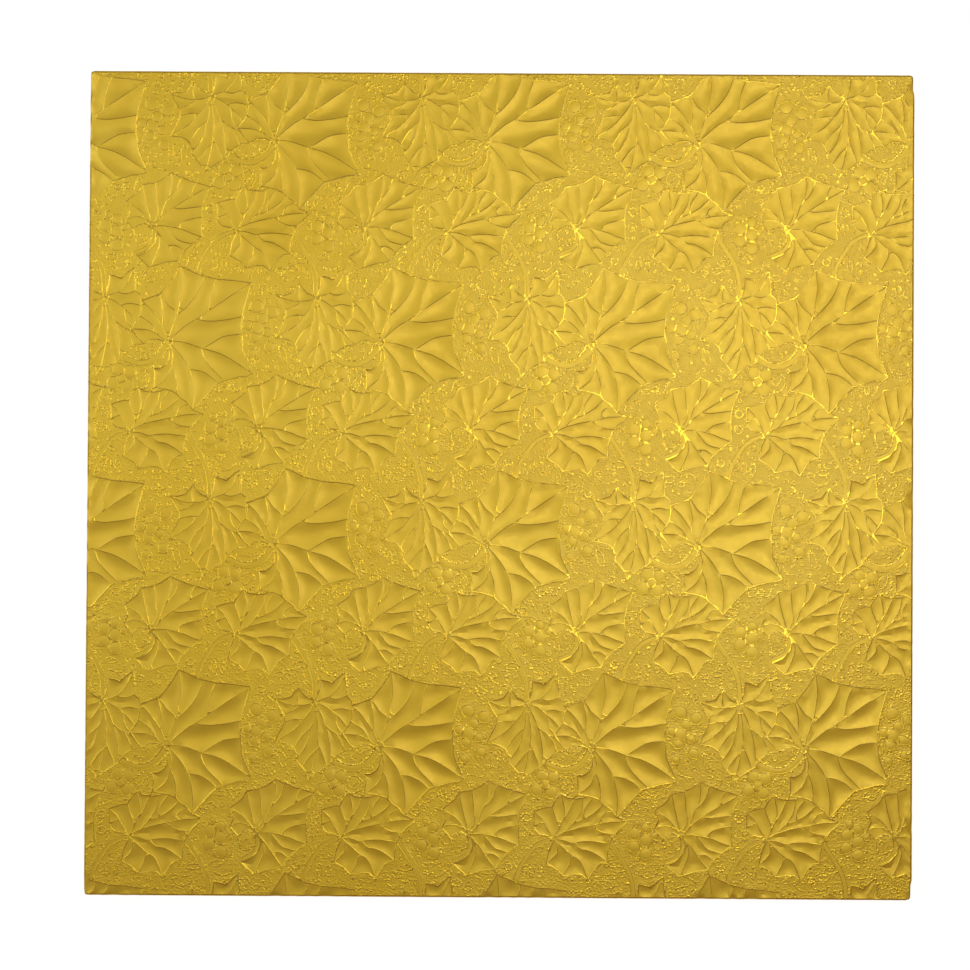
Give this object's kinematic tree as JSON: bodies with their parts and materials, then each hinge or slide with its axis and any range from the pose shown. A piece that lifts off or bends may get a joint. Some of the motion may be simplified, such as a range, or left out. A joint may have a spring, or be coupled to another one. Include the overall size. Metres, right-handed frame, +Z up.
{
  "type": "cake board",
  "caption": "Square stiff cardboard cake board wrapped in gold foil paper embossed with vine leaves and grapes, foil turned in underneath and covered by a plain paper liner.",
  "frame": {"origin": "middle of the underside, on the surface that the board lies on", "axes": "+Z up through the board's thickness, +Y towards the board's far edge as the picture shows it, +X towards its right edge"},
  "size_m": [0.2546, 0.2538, 0.0063],
  "materials": {
    "greyboard": "uncoated corrugated kraft board",
    "gold_foil": "embossed gold foil laminated to paper, satin with bright burnished lines",
    "liner_paper": "plain uncoated white paper"
  },
  "bodies": {
    "root": {"core_board": "greyboard", "foil_wrap": "gold_foil", "base_paper": "liner_paper"}
  },
  "joints": []
}
